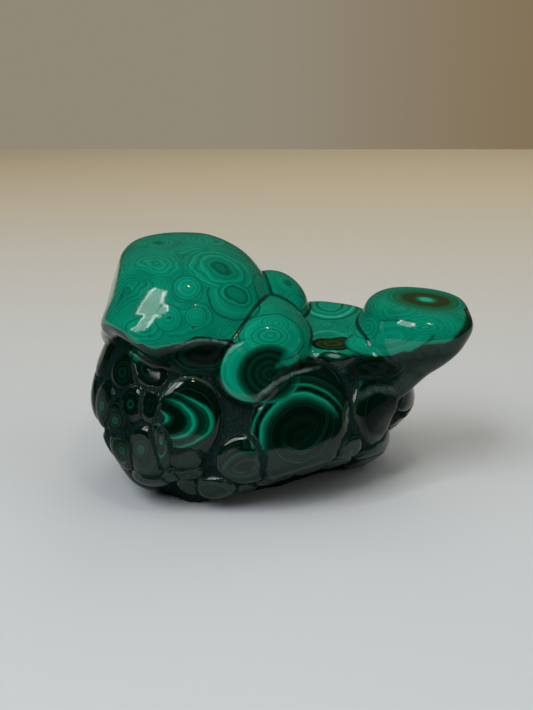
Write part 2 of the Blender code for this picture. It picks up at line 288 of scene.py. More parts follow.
def outward(points, field):
    """Unit normals of the field's surface at the points."""
    slopes = [field(points + step) - field(points - step) for step in np.eye(3) * SLOPE_REACH]
    normals = np.stack(slopes, axis=1)
    return normals / np.linalg.norm(normals, axis=1, keepdims=True)


# ---------------- lobes
def lobe(place, normal, half_width, half_height, thickness, proud, lean):
    """An ellipsoid sunk in the surface at a place and turned with it: centre, axes, radii."""
    across = np.cross((0, 0, 1), normal)
    across /= np.linalg.norm(across)
    upward = np.cross(normal, across)
    turn = math.radians(lean)
    wide = across * math.cos(turn) - upward * math.sin(turn)
    tall = across * math.sin(turn) + upward * math.cos(turn)
    centre = place + normal * (proud - thickness)
    return centre, np.stack([wide, tall, normal], axis=1), (half_width, half_height, thickness)


def front_lobes():
    places = np.array([(spec[0], -REACH, spec[1]) for spec in FRONT_LOBES.values()], float)
    ahead = np.tile((0.0, 1.0, 0.0), (len(places), 1))
    places = cast(places, ahead, both)
    normals = outward(places, both)
    return [lobe(place, normal, *spec[2:])
            for place, normal, spec in zip(places, normals, FRONT_LOBES.values())]


def scattered_lobes(placed):
    """Crowd the hidden sides with lobes, the largest first, each where none is yet."""
    chance = random.Random(SCATTER_SEED)
    tries = SCATTER_TRIES * len(SCATTER_SIZES)
    starts = np.array([(chance.uniform(*SCATTER_SPAN), 0, chance.uniform(*SCATTER_RISE))
                       for _ in range(tries)])
    angles = np.array([chance.uniform(0, 2 * math.pi) for _ in range(tries)])
    headings = np.stack([np.cos(angles), np.sin(angles), np.zeros(tries)], axis=1)
    places = cast(starts, headings, lower)
    missed = ~(np.abs(lower(places)) < CAST_MISS)
    places[missed] = CORE
    normals = outward(places, lower)
    clearance = upper(places)
    taken = [(centre + axes[:, 2] * radii[2], FRONT_REACH * (radii[0] + radii[1]))
             for centre, axes, radii in placed]
    made = []
    for number in range(tries):
        size = SCATTER_SIZES[number // SCATTER_TRIES]
        place, normal = places[number], normals[number]
        radius = size * chance.uniform(*SCATTER_SPREAD)
        spread = SCATTER_OVERLAP * radius
        aspect = chance.uniform(*SCATTER_ASPECT)
        lean = chance.uniform(0, 180)
        proud = chance.uniform(*SCATTER_PROUD) * min(1, SMALL_PROUD + radius / FULL_PROUD)
        if missed[number] or clearance[number] < SCATTER_CLEAR * size:
            continue
        if place[2] < SCATTER_LIFT * size or -normal[1] > FRONT_FACING:
            continue
        crowded = any(np.linalg.norm(place - other) < SCATTER_SPACING * (radius + reach)
                      for other, reach in taken)
        if crowded:
            continue
        taken.append((place, radius))
        made.append(lobe(place, normal, spread * aspect, spread / aspect,
                         SCATTER_DEPTH * radius, proud, lean))
    return made


# ---------------- the camera's place
CAMERA = (-4.78, -312.0, 139.2)  # in the frame that the shapes are placed in
PITCH = math.radians(17.3)  # looking down
FOCAL = 1030.0  # in the photograph's pixels
PICTURE = (533, 710)
SENSOR_HEIGHT = 36
NEAREST = 0.01  # the camera sees nothing closer than this, in metres
RAY_START = 180.0  # rays begin this far from the camera, short of the stone

SIGHT = np.array((0, math.cos(PITCH), -math.sin(PITCH)))
SIGHT_UP = np.array((0, math.sin(PITCH), math.cos(PITCH)))
SIGHT_RIGHT = np.array((1.0, 0, 0))


def seen_at(column, row, field):
    """The place on the stone that the camera sees at a pixel, and the size of a pixel there."""
    across = (column - PICTURE[0] / 2) / FOCAL
    down = (row - PICTURE[1] / 2) / FOCAL
    ray = SIGHT + across * SIGHT_RIGHT - down * SIGHT_UP
    ray /= np.linalg.norm(ray)
    start = np.array(CAMERA) + ray * RAY_START
    place = cast(start[None], ray[None], field)[0]
    return place, (place - CAMERA) @ SIGHT / FOCAL


# ---------------- skin
GAP_LIMIT = 5  # gaps between lobes and swellings are told up to this size
# masses of the polished top that rise as one; creases part them
SWELLINGS = (("crown", "chin", "wall"), ("high", "crescent"), ("shoulder",), ("saddle",),
             ("neck", "tip"))


def settle(mesh, field):
    """Relax the corners over the surface and put them back on it."""
    count = len(mesh.vertices)
    places = np.empty(count * 3)
    mesh.vertices.foreach_get("co", places)
    places = places.reshape(count, 3)
    ends = np.empty(len(mesh.edges) * 2, int)
    mesh.edges.foreach_get("vertices", ends)
    first, second = ends.reshape(-1, 2).T
    neighbours = np.bincount(ends, minlength=count)[:, None]
    for _ in range(SETTLE_ROUNDS):
        middle = np.stack([np.bincount(first, places[second, axis], count)
                           + np.bincount(second, places[first, axis], count)
                           for axis in range(3)], axis=1)
        places = 0.5 * places + 0.5 * middle / neighbours
        places -= field(places)[:, None] * outward(places, field)
    return places


def nearest_lobe(places, lobes):
    """For each place: how far out it lies in its lobe, 0 in the middle and 1 at the rim, the lobe's
    radius, a number of the lobe's own between 0 and 1, the gap to the next lobe, and how far the
    place is from any lobe."""
    chance = random.Random(SCATTER_SEED)
    nearest = np.full(len(places), REACH)
    second = np.full(len(places), REACH)
    out, size, tone = (np.zeros(len(places)) for _ in range(3))
    for centre, axes, radii in lobes:
        distance = ellipsoid(places, centre, radii, axes)
        closer = distance < nearest
        second = np.where(closer, nearest, np.minimum(second, distance))
        nearest[closer] = distance[closer]
        local = ((places - centre) @ axes) / radii
        out[closer] = np.hypot(local[closer, 0], local[closer, 1])
        size[closer] = 0.5 * (radii[0] + radii[1])
        tone[closer] = chance.random()
    return out, size, tone, np.clip(second - nearest, 0, GAP_LIMIT), np.clip(nearest, 0, GAP_LIMIT)


def crease_gap(places):
    """How much nearer a place on the polished top lies to one of its swellings than to the next."""
    swellings = [masses(places, {name: UPPER_MASSES[name] for name in names})
                 for names in SWELLINGS]
    nearest, second = np.sort(swellings, axis=0)[:2]
    return np.clip(second - nearest, 0, GAP_LIMIT)


def carved(places, normals, sunk):
    """The hand polish's slight waves, and pits and grains in the rough matrix between the lobes."""
    coarse, fine = GRAIN_SCALES
    heights = np.empty(len(places))
    for number, (place, depth) in enumerate(zip(places, sunk)):
        spot = Vector(place)
        heights[number] = POLISH_WAVE * noise.noise(spot / POLISH_LENGTH)
        if depth > MATRIX_DEPTH:
            share = min(1.0, (depth - MATRIX_DEPTH) / MATRIX_FADE)
            grain = noise.noise(spot * coarse) + FINE_GRAIN * noise.noise(spot * fine)
            pit = max(0.0, PIT_RADIUS - noise.voronoi(spot * PIT_SCALE)[0][0])
            heights[number] += share * (GRAIN * grain - PIT * pit)
    return places + heights[:, None] * normals


def add_values(mesh, **values):
    for name, numbers in values.items():
        layer = mesh.attributes.new(name, "FLOAT", "POINT")
        layer.data.foreach_set("value", np.asarray(numbers, np.float32))


def even_copy(node):
    """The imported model's mesh on a fine even grid, in the frame that the shapes are placed in."""
    copy = bpy.data.objects.new("even_copy", node.data.copy())
    bpy.context.scene.collection.objects.link(copy)
    copy.data.transform(node.matrix_world)
    copy.data.transform(Matrix.Scale(1 / MM, 4))
    copy.data.transform(Matrix.Translation((CENTRE_X, CENTRE_Y, 0)))
    grid = copy.modifiers.new("even grid", "REMESH")
    grid.mode = "VOXEL"
    grid.voxel_size = VOXEL
    depsgraph = bpy.context.evaluated_depsgraph_get()
    mesh = bpy.data.meshes.new_from_object(copy.evaluated_get(depsgraph))
    bpy.data.objects.remove(copy)
    return mesh


def make_skin(node, lobes, field):
    """The visible stone, with the values that its material reads at each corner."""
    mesh = even_copy(node)
    places = settle(mesh, field)
    sunk = np.clip(-both(places), 0, INSET + 1)
    ring, size, tone, seam, clear = nearest_lobe(places, lobes)
    crease = crease_gap(places)
    places = carved(places, outward(places, field), sunk)
    add_values(mesh, sunk=sunk, ring=ring, size=size, tone=tone, seam=seam, clear=clear,
               crease=crease)

    low, high = (np.array(corner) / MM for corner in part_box(NAME))
    places = places - (CENTRE_X, CENTRE_Y, 0)
    places = np.clip(places, low + (BOX_GAP, BOX_GAP, 0), high - BOX_GAP) * MM
    mesh.vertices.foreach_set("co", places.ravel())
    mesh.update()
    mesh.materials.clear()
    skin = bpy.data.objects.new("malachite_skin", mesh)
    bpy.context.scene.collection.objects.link(skin)
    mesh.shade_smooth()
    return skin


# ---------------- colours, linear
BLACK = (0.0008, 0.0035, 0.0022, 1)
INKY = (0.0008, 0.009, 0.005, 1)
DEEP = (0.0008, 0.028, 0.016, 1)
DARK = (0.0008, 0.080, 0.042, 1)
OCEAN = (0.001, 0.145, 0.082, 1)
MID = (0.001, 0.20, 0.118, 1)
BRIGHT = (0.002, 0.27, 0.172, 1)
PALE = (0.02, 0.40, 0.29, 1)
BROWN = (0.020, 0.040, 0.011, 1)
OLIVE = (0.006, 0.12, 0.048, 1)
LOAM = (0.002, 0.016, 0.015, 1)
ASH = (0.05, 0.10, 0.085, 1)
# grey of the painted highlights on ridges, lobe edges and the lip
HIGHLIGHT_GREY = (0.14, 0.23, 0.20, 1)


class Recipe:
    """Adds nodes to a material's tree; every method gives the socket that holds its result."""

    def __init__(self, tree):
        self.tree = tree

    def put(self, kind, settings, inputs):
        node = self.tree.nodes.new("ShaderNode" + kind)
        for name, value in settings.items():
            setattr(node, name, value)
        for name, value in inputs.items():
            self.feed(node.inputs[name], value)
        return node

    def feed(self, socket, value):
        if isinstance(value, bpy.types.NodeSocket):
            self.tree.links.new(value, socket)
        else:
            socket.default_value = value

    def math(self, operation, *terms):
        return self.put("Math", {"operation": operation}, dict(enumerate(terms))).outputs[0]

    def times(self, first, second):
        return self.math("MULTIPLY", first, second)

    def vector_math(self, operation, output, *terms):
        return self.put("VectorMath", {"operation": operation},
                        dict(enumerate(terms))).outputs[output]

    def scaled(self, vector, factor):
        return self.put("VectorMath", {"operation": "SCALE"},
                        {0: vector, "Scale": factor}).outputs[0]

    def added(self, first, second):
        return self.vector_math("ADD", 0, first, second)

    def length(self, vector):
        return self.vector_math("LENGTH", "Value", vector)

    def dot(self, first, second):
        return self.vector_math("DOT_PRODUCT", "Value", first, second)

    def part(self, vector, axis):
        return self.put("SeparateXYZ", {}, {0: vector}).outputs[axis]

    def above(self, value, start):
        """How far a value is above a start, and 0 below it."""
        return self.math("MAXIMUM", self.math("SUBTRACT", value, start), 0.0)

    def value(self, name):
        return self.put("Attribute", {"attribute_name": name}, {}).outputs["Fac"]

    def noise(self, vector, scale, detail=2.0, roughness=0.5, output="Fac"):
        return self.put("TexNoise", {}, {"Vector": vector, "Scale": scale, "Detail": detail,
                                         "Roughness": roughness}).outputs[output]

    def sway(self, vector, scale, reach, detail=1.0):
        """A random shift, of up to about reach, to add to the vector."""
        drift = self.noise(vector, scale, detail, output="Color")
        return self.scaled(self.added(drift, (-0.5, -0.5, -0.5)), 2 * reach)

    def noise_line(self, position, detail=2.0, roughness=0.5):
        return self.put("TexNoise", {"noise_dimensions": "1D"},
                        {"W": position, "Scale": 1.0, "Detail": detail,
                         "Roughness": roughness}).outputs["Fac"]

    def cell_distance(self, vector, scale):
        """Distance to the middle of a cell of a random pattern, in cells."""
        return self.put("TexVoronoi", {"feature": "F1"},
                        {"Vector": vector, "Scale": scale}).outputs["Distance"]

    def ramp(self, share, stops):
        node = self.put("ValToRGB", {}, {"Fac": share})
        bands = node.color_ramp.elements
        for element, (position, colour) in zip(bands, stops[:2]):
            element.position, element.color = position, colour
        for position, colour in stops[2:]:
            bands.new(position).color = colour
        return node.outputs["Color"]

    def step(self, value, low, high, out_low=0.0, out_high=1.0):
        return self.put("MapRange", {"interpolation_type": "SMOOTHSTEP"},
                        {"Value": value, "From Min": low, "From Max": high,
                         "To Min": out_low, "To Max": out_high}).outputs["Result"]

    def mix(self, share, first, second):
        node = self.put("Mix", {"data_type": "RGBA"}, {})
        self.feed(node.inputs["Factor"], share)
        self.feed(node.inputs[6], first)
        self.feed(node.inputs[7], second)
        return node.outputs[2]


# ---------------- growth rings
def pairs(*places_and_colours):
    return tuple(zip(places_and_colours[::2], places_and_colours[1::2]))


# stops of colour from an eye's middle to its rim
EYE = pairs(0, BRIGHT, 0.14, BRIGHT, 0.19, OCEAN, 0.25, MID, 0.42, BRIGHT, 0.5, MID,
            0.54, OCEAN, 0.58, MID, 0.72, BRIGHT, 0.82, MID, 0.86, OCEAN, 0.9, MID,
            0.96, BRIGHT, 1, MID)
DARK_EYE = pairs(0, DARK, 0.1, OCEAN, 0.18, DARK, 0.3, OCEAN, 0.38, MID, 0.44, OCEAN, 0.5, MID,
                 0.6, BRIGHT, 0.66, OCEAN, 0.7, MID, 0.84, BRIGHT, 0.88, OCEAN, 0.92, MID,
                 1, MID)
RING_EYE = pairs(0, MID, 0.25, MID, 0.32, OCEAN, 0.38, MID, 0.52, OCEAN, 0.58, DARK,
                 0.64, OCEAN, 0.74, BRIGHT, 0.85, MID, 0.9, OCEAN, 1, MID)
DOME = pairs(0, OCEAN, 0.12, BRIGHT, 0.3, BRIGHT, 0.4, MID, 0.55, BRIGHT, 0.72, MID,
             0.86, BRIGHT, 0.95, OCEAN, 1, DARK)
SWELL = pairs(0, MID, 0.3, BRIGHT, 0.5, MID, 0.72, BRIGHT, 0.93, MID, 0.97, DARK, 1, DEEP)
TIP_EYE = pairs(0, PALE, 0.15, PALE, 0.19, MID, 0.24, OLIVE, 0.32, BROWN, 0.58, BROWN,
                0.64, OLIVE, 0.76, OLIVE, 0.79, DARK, 0.84, MID, 0.9, OCEAN, 1, MID)
BOWL = pairs(0, BRIGHT, 0.2, MID, 0.32, BRIGHT, 0.42, DARK, 0.48, BRIGHT, 0.6, MID, 0.68, OCEAN,
             0.76, PALE, 0.86, BRIGHT, 0.93, DARK, 1, OCEAN)
# painted shade on the face under the crown's brow, over that face's own near-black colour
BROW_SHADING = pairs(0, BLACK, 0.3, INKY, 0.5, BLACK, 0.7, DEEP, 0.8, BLACK, 0.9, DEEP, 1, BLACK)
CRESCENT = pairs(0, MID, 0.5, MID, 0.72, BRIGHT, 0.84, MID, 0.93, BRIGHT, 0.965, DARK, 1, BLACK)
CORE_RINGS = pairs(0, DEEP, 0.08, INKY, 0.18, DEEP, 0.3, INKY, 0.4, DEEP, 0.5, BLACK,
                   0.62, DEEP, 0.74, INKY, 0.84, DEEP, 0.93, DARK, 1, OCEAN)
GREAT_RINGS = pairs(0, BLACK, 0.12, INKY, 0.2, BLACK, 0.32, INKY, 0.42, BLACK, 0.5, INKY,
                    0.57, DEEP, 0.625, DARK, 0.65, MID, 0.675, BRIGHT, 0.69, OCEAN, 0.7, INKY,
                    0.75, BLACK, 0.79, DARK, 0.8, MID, 0.815, DEEP, 0.86, BLACK, 0.92, DEEP,
                    0.96, BLACK, 1, INKY)
HEART_RINGS = pairs(0, DEEP, 0.12, BLACK, 0.19, DARK, 0.22, BRIGHT, 0.25, DARK, 0.32, BLACK,
                    0.5, INKY, 0.6, DARK, 0.66, BRIGHT, 0.69, DARK, 0.76, INKY, 0.84, DEEP,
                    0.9, DARK, 0.93, BRIGHT, 0.96, DARK, 1, BLACK)
FAINT_RINGS = pairs(0, BLACK, 0.3, INKY, 0.42, BLACK, 0.55, DEEP, 0.6, BLACK, 0.7, INKY,
                    0.8, DEEP, 0.84, DARK, 0.87, DEEP, 0.93, BLACK, 1, BLACK)
GLOW = pairs(0, DARK, 0.15, DEEP, 0.3, DARK, 0.4, DEEP, 0.55, INKY, 0.7, DEEP, 0.8, INKY,
             1, BLACK)
# olive-brown bands of the saddle's recess, darkened as painted shade
RECESS_SHADING = pairs(0, INKY, 0.35, BROWN, 0.5, INKY, 0.65, BROWN, 0.8, INKY, 0.95, BLACK, 1, DEEP)
SLATE = pairs(0, LOAM, 0.4, ASH, 0.6, LOAM, 0.85, BROWN, 1, INKY)
# the lip: a dark lens whose bright middle is a painted highlight
LIP = pairs(0, HIGHLIGHT_GREY, 0.35, HIGHLIGHT_GREY, 0.55, DARK, 0.8, DEEP, 1, BLACK)

# eyes painted one over another, in this order: column and row in the picture, half width and half
# height in its pixels, turn to the right in degrees, waviness in millimetres, stops
EYES = {
    "crown_right_lobe": (236, 296, 31, 25, -8, 1.2, SWELL),
    "crown_small_lobe": (263, 288, 13, 17, 12, 0.6, SWELL),
    "crown_fold": (155, 263, 29, 14, 20, 3.6, EYE),
    "crown_peak": (158, 243, 17, 9, 0, 2.2, DARK_EYE),
    "crown_great": (222, 268, 40, 28, 24, 3.2, DARK_EYE),
    "crown_back": (208, 240, 24, 8, 15, 2.6, EYE),
    "crown_eye": (146, 327, 26, 16, -10, 2.0, EYE),
    "crown_right": (237, 295, 24, 12, 5, 2.0, RING_EYE),
    "crown_small": (261, 287, 8, 12, 10, 0.5, EYE),
    "crown_dome": (187, 287, 15, 14, 0, 0.5, DOME),
    "crown_knob": (168, 318, 14, 14, 0, 0.5, DOME),
    "crown_bead": (196, 317, 11, 10, 0, 0.4, DOME),
    # painted shade under the crown's brow, over its own near-black colour
    "crown_dusk": (205, 355, 36, 18, -3, 1.6, BROW_SHADING),
    "shoulder_eye": (288, 283, 13, 10, 30, 0.6, DARK_EYE),
    "teal": (297, 303, 13, 8, 10, 0.6, DOME),
    "high_lobe": (275, 336, 38, 24, 5, 0.8, SWELL),
    "high_top": (276, 323, 17, 10, 0, 0.9, EYE),
    "high_low": (270, 336, 21, 12, 0, 0.9, EYE),
    "bowl": (330, 305, 30, 25, 0, 1.0, BOWL),
    # olive-brown bands, darkened as painted shade in the saddle's recess under its ledge
    "olive": (332, 343, 22, 8, 2, 2.6, RECESS_SHADING),
    "tip_end": (471, 316, 6, 22, -12, 0.6, SLATE),
    "tip_foot": (388, 338, 47, 17, -6, 1.6, SWELL),
    "tip_lobe": (367, 328, 17, 13, 0, 0.8, EYE),
    "tip_lens": (424, 328, 25, 8, 0, 1.0, EYE),
    "crescent": (252, 371, 32, 33, 0, 0.4, CRESCENT),
    "crescent_core": (270, 374, 34, 30, 0, 0.5, CORE_RINGS),
}
DARK_EYES = {
    "great": (303, 440, 64, 69, 0, 0.7, GREAT_RINGS),
    "heart": (154, 419, 62, 31, 4, 1.4, HEART_RINGS),
    "middle": (250, 472, 32, 24, 0, 0.8, FAINT_RINGS),
    "cheek": (398, 436, 38, 44, 10, 1.2, FAINT_RINGS),
    "left_eye": (102, 406, 9, 12, 0, 0.6, GLOW),
    "left_cheek": (115, 420, 10, 9, 0, 0.6, GLOW),
    "left_foot": (141, 449, 11, 12, 0, 0.9, GLOW),
    "left_low": (121, 451, 10, 11, 0, 0.9, GLOW),
    # the lip's bright middle is a painted highlight
    "lip": (334, 356, 14, 4, 6, 0.3, LIP),
    "wedge": (348, 415, 7, 17, 14, 1.2, SLATE),
}
# eyes that show only in a sector: its direction and its half width in degrees
SECTORS = {
    "crescent": (205, 105),
    "crescent_core": (195, 150),
    "great": (118, 74),
    "heart": (0, 62),
    "middle": (120, 50),
    "cheek": (130, 60),
}
SECTOR_EDGE = 22.0  # soft edge of a sector, in degrees
EYE_DEPTH = 0.7  # half depth of an ellipse, as a share of its two half sizes together
EYE_EDGE = (1.02, 0.98)  # where an eye's rim fades out
EYE_SWAY = 0.12  # scale per millimetre and detail of the noise that makes eyes wavy
EYE_SWAY_DETAIL = 4.0
EYE_SEED = 7.3  # keeps the fine bands of one eye unlike the next eye's
FINE_BANDS = 1.6  # fine bands for each millimetre, about, and their noise
FINE_NOISE = (3.0, 0.6)
FINE_SHAKE = 0.10  # how far they move the rings, as a share of the radius
FINE_TONES = (0.3, 0.7, 0.84, 1.16)  # and how much darker and lighter they make them

# the tip's eye: its place in the picture, and its radii in pixels along X, Y and Z, as its rings
# lie level
TIP_PLACE = (426, 299.5)
TIP_RADII = (43, 36, 16)
TIP_SWAY = (0.15, 0.5)
TIP_SEED = 3.0

# painted highlights along ridges and lobe edges, and pale pitted rims on the heart and the cheek,
# along parts of ellipses: column, row, half width, half height, width in the picture's pixels,
# direction and half width of the part in degrees, colour
RIMS = {
    "great": (340, 430, 95, 64, 7.0, 130, 10, HIGHLIGHT_GREY),
    "cheek": (380, 413, 29, 24, 13.0, 96, 34, ASH),
    "heart": (190, 420, 34, 42, 4.5, 95, 44, ASH),
    "ridge": (206, 420, 70, 80, 4.0, 88, 12, HIGHLIGHT_GREY),
    "ledge": (327, 380, 40, 49, 3.0, 90, 14, PALE),
}
RIM_SWAY = (0.3, 0.5, 2.0)
RIM_NOISE = (0.5, 4.0, 0.7)
RIM_SHEEN_AND_WEAR = (0.30, 0.62, 0.12, 0.75)  # the noise's span, and how little and how much it shows
RIM_FACING = (0.0, 0.2)  # the painted highlights and rims fade in as the surface turns towards the camera
RIM_EDGE = 0.1  # share of a rim's width at its full colour


def local_place(do, where, place, axes, radii):
    """Places seen from the middle of an ellipsoid, along its axes and measured in its radii."""
    turn = Matrix(np.stack([np.array(axis, float) for axis in axes], axis=1).tolist()).to_euler()
    middle = np.array(place) - (CENTRE_X, CENTRE_Y, 0)
    return do.put("Mapping", {"vector_type": "TEXTURE"},
                  {"Vector": where, "Location": tuple(middle), "Rotation": turn,
                   "Scale": tuple(radii)}).outputs[0]


def sector(do, local, direction, half_width):
    """1 within a sector of an eye and 0 outside it, with soft edges."""
    flat = do.vector_math("MULTIPLY", 0, local, (1, 1, 0))
    flat = do.vector_math("NORMALIZE", 0, flat)
    turn = math.radians(direction)
    facing = do.dot(flat, (math.cos(turn), math.sin(turn), 0))
    inner = math.cos(math.radians(max(half_width - SECTOR_EDGE, 0)))
    outer = math.cos(math.radians(min(half_width + SECTOR_EDGE, 180)))
    return do.step(facing, outer, inner)


def ellipse_shape(entry, field):
    """Place, axes and radii in millimetres of an ellipse given in the picture's pixels."""
    column, row, half_width, half_height, turn = entry
    place, pixel = seen_at(column, row, field)
    turn = math.radians(turn)
    right = SIGHT_RIGHT * math.cos(turn) - SIGHT_UP * math.sin(turn)
    upward = SIGHT_RIGHT * math.sin(turn) + SIGHT_UP * math.cos(turn)
    radii = np.array((half_width, half_height, EYE_DEPTH * (half_width + half_height))) * pixel
    return place, (right, upward, -SIGHT), radii


def rim_shape(column, row, half_width, half_height, direction, field):
    """An ellipse seen in the picture, as a long tube along the line of sight: the size of a pixel
    is taken where the middle of the painted part lies on the stone."""
    turn = math.radians(direction)
    right = half_width * math.cos(turn)
    upward = half_height * math.sin(turn)
    place, pixel = seen_at(column + right, row - upward, field)
    place = place - SIGHT_RIGHT * right * pixel - SIGHT_UP * upward * pixel
    radii = (half_width * pixel, half_height * pixel, REACH)
    return place, (SIGHT_RIGHT, SIGHT_UP, -SIGHT), radii


def mean_radius(radii):
    return float(radii[0] + radii[1]) / 2


def paint_eye(do, under, local, across, seed, stops, part=None):
    """Rings over what lies under them, with fine bands that follow the rings."""
    out = do.length(local)
    fine = do.noise_line(do.math("MULTIPLY_ADD", out, across * FINE_BANDS, seed), *FINE_NOISE)
    shift = do.math("MULTIPLY_ADD", fine, FINE_SHAKE, -FINE_SHAKE / 2)
    rings = do.ramp(do.math("ADD", out, shift), stops)
    rings = do.scaled(rings, do.step(fine, *FINE_TONES))
    share = do.step(out, *EYE_EDGE)
    if part:
        share = do.times(share, sector(do, local, *part))
    return do.mix(share, under, rings)


def paint_eyes(do, where, under, table, shapes):
    """All the eyes of a table over what lies under them."""
    for number, (name, entry) in enumerate(table.items()):
        place, axes, radii = shapes[name]
        waviness, stops = entry[5:]
        bent = do.added(where, do.sway(where, EYE_SWAY, waviness, EYE_SWAY_DETAIL))
        local = local_place(do, bent, place, axes, radii)
        under = paint_eye(do, under, local, mean_radius(radii), EYE_SEED * number, stops,
                          SECTORS.get(name))
    return under


def paint_tip_eye(do, where, under, field):
    place, pixel = seen_at(*TIP_PLACE, field)
    radii = tuple(pixel * radius for radius in TIP_RADII)
    bent = do.added(where, do.sway(where, *TIP_SWAY))
    local = local_place(do, bent, place, np.eye(3), radii)
    return paint_eye(do, under, local, radii[0], TIP_SEED, TIP_EYE)


def paint_highlights_and_rims(do, where, under, normal, field):
    """Painted highlights on ridges and lobe edges, and pale pitted rims, here and there fainter."""
    bent = do.added(where, do.sway(where, *RIM_SWAY))
    sheen_and_wear = do.step(do.noise(where, *RIM_NOISE), *RIM_SHEEN_AND_WEAR)
    # the painted highlights show only where the surface turns towards the camera
    sheen_and_wear = do.times(sheen_and_wear, do.step(do.dot(normal, tuple(-SIGHT)), *RIM_FACING))
    for column, row, half_width, half_height, width, direction, part, colour in RIMS.values():
        place, axes, radii = rim_shape(column, row, half_width, half_height, direction, field)
        local = local_place(do, bent, place, axes, radii)
        away = do.math("ABSOLUTE", do.math("SUBTRACT", do.length(local), 1.0))
        edge = width / (half_width + half_height)
        share = do.times(do.step(away, edge, RIM_EDGE * edge), sector(do, local, direction, part))
        under = do.mix(do.times(share, sheen_and_wear), under, colour)
    return under


# ---------------- the stone's material
# noise is given as its scale per millimetre, its detail and its roughness, sways as their scale,
# their reach in millimetres and their detail, and steps as the span of what they read and, where
# it isn't 0 to 1, the span of what they give
BENDS = ((0.07, 3.5), (0.4, 0.5, 2.0))  # slow bends and small ripples of the whole pattern

CELL = 20.0  # size of the ring cells where no eye is placed
EYE_BLEND = 1.0  # rounding where the rings of two middles meet
TOP_BANDS = 1.25  # bands for each millimetre, about, and their noise
TOP_LINES = (4.0, 0.65)
TOP_STOPS = pairs(0.28, DARK, 0.35, OCEAN, 0.42, MID, 0.47, OCEAN, 0.5, MID, 0.57, BRIGHT,
                  0.61, OCEAN, 0.64, MID, 0.74, BRIGHT)
TOP_CLOUDS = (0.09, 3.0)
TOP_TONES = (0.35, 0.65, 0.85, 1.12)

LOBE_WAVER = (0.25, 2.0)  # noise that moves the lobes' rings, and its reach
LOBE_WAVER_REACH = 1.4
LOBE_BANDS = 0.8  # bands for each millimetre, about, and their noise
LOBE_LINES = (4.0, 0.62)
LOBE_OWN = 57.0  # keeps one lobe's bands unlike the next lobe's
LOBE_STOPS = pairs(0.25, INKY, 0.4, BLACK, 0.52, INKY, 0.56, BLACK, 0.61, DEEP, 0.65, INKY,
                   0.72, DARK, 0.8, OCEAN)
PLAIN_CLOUDS = (0.10, 4.0)  # dark polish that is no lobe
PLAIN_STOPS = pairs(0.35, INKY, 0.47, DEEP, 0.5, INKY, 0.58, DEEP, 0.62, INKY, 0.72, DEEP)
PLAIN_CLEAR = (0.8, 1.4)  # it begins this far from the lobes
LOW_TONES = (28.0, 14.0, 1.0, 2.6)  # the lobes are lighter towards the base

# the top is light green above this height; where it turns to face down it keeps the dark colour of
# the lower slopes, as painted shade
LIGHT_FROM = 47.6  # the polished top is light above this height
LIGHT_EDGE = (LIGHT_FROM - 1.2, LIGHT_FROM + 0.4)
SHADING_TILT = (-0.10, 0.02)  # and where it doesn't face down
LIGHT_CLEAR = (0.6, 1.2)  # lower down it keeps this far from the lobes
LIGHT_ON_LOBES = (LIGHT_FROM - 2.0, LIGHT_FROM)  # above it, the lobes are light too
NECK_X = 38.0  # beyond this X the light part's edge rises towards the tip's end
NECK_RISE = -0.03
CROWN_X = -44.0  # and beyond this one towards the crown's left side
CROWN_RISE = -0.8
BACK_Y = 5.0  # behind this Y it falls, and slopes may face down more
BACK_FALL = 0.5
BACK_TILT = 0.03
RAGGED_NOISE = (0.2, 3.0)  # its edge is ragged, over this height
RAGGED = 3.0

SPECK_SCALE = 0.25  # small brown pits on the top: their scale, size, and where they come
SPECK_SIZE = (0.13, 0.08)
SPECK_NOISE = (0.06, 2.0)
SPECK_STEP = (0.52, 0.6)

CREASE_WIDTH = (1.1, 0.3)  # dark creases between the top's swellings, above this height
CREASE_FROM = (47.0, 50.0)
CREASE_SHARE = 0.85

SEAM_NOISE = (0.28, 3.0)  # seams where lobes touch, of uneven width, below this height
SEAM_NOISE_REACH = 3.4
SEAM_WIDTH = (2.9, 2.1)
SEAM_CLEAR = (1.5, 1.0)
SEAM_BELOW = (48.0, 44.0)
GRAIN_NOISE = (1.5, 5.0, 0.7)  # the rough matrix
GRAIN_STOPS = pairs(0.34, BLACK, 0.5, LOAM, 0.66, LOAM, 0.78, ASH)
SPECKLE_NOISE = (3.5, 2.0, 0.7)
SPECKLE_STEP = (0.60, 0.72)
ROUGH_NOISE = 0.6  # share of the grain in where the matrix begins
ROUGH_FROM = (0.95, 1.35)

SMEAR_NOISE = (0.3, 3.0)  # hand marks on the polish
SMEAR_STEP = (0.4, 0.7, 0.0, 0.05)
POLISH_ROUGHNESS = 0.07
MATRIX_ROUGHNESS = 0.55
IOR = 1.45
GLOSS_BY_TILT = (-0.6, -0.1, 0.14, 0.5)  # the undersides are polished less
MATRIX_GLOSS = 0.25  # the matrix's gloss, as a share of the polish's
SCRATCH_NOISE = (3.0, 3.0, 0.6)
SCRATCH_HEIGHT = 0.004  # heights in the relief, in millimetres, about
GRAIN_HEIGHT = 0.7
RELIEF = 0.8
# where the polish is dull: column, row, half width, half height, turn
DULL = {
    "brow": (212, 360, 44, 19, -4),
    "crescent_right": (291, 376, 20, 24, -30),
    "neck": (372, 374, 30, 17, 0),
    "cheek": (382, 414, 26, 24, 0),
    "left": (106, 392, 30, 84, -6),
}
DULL_EDGE = (0.8, 1.15, 0.15, 1.0)


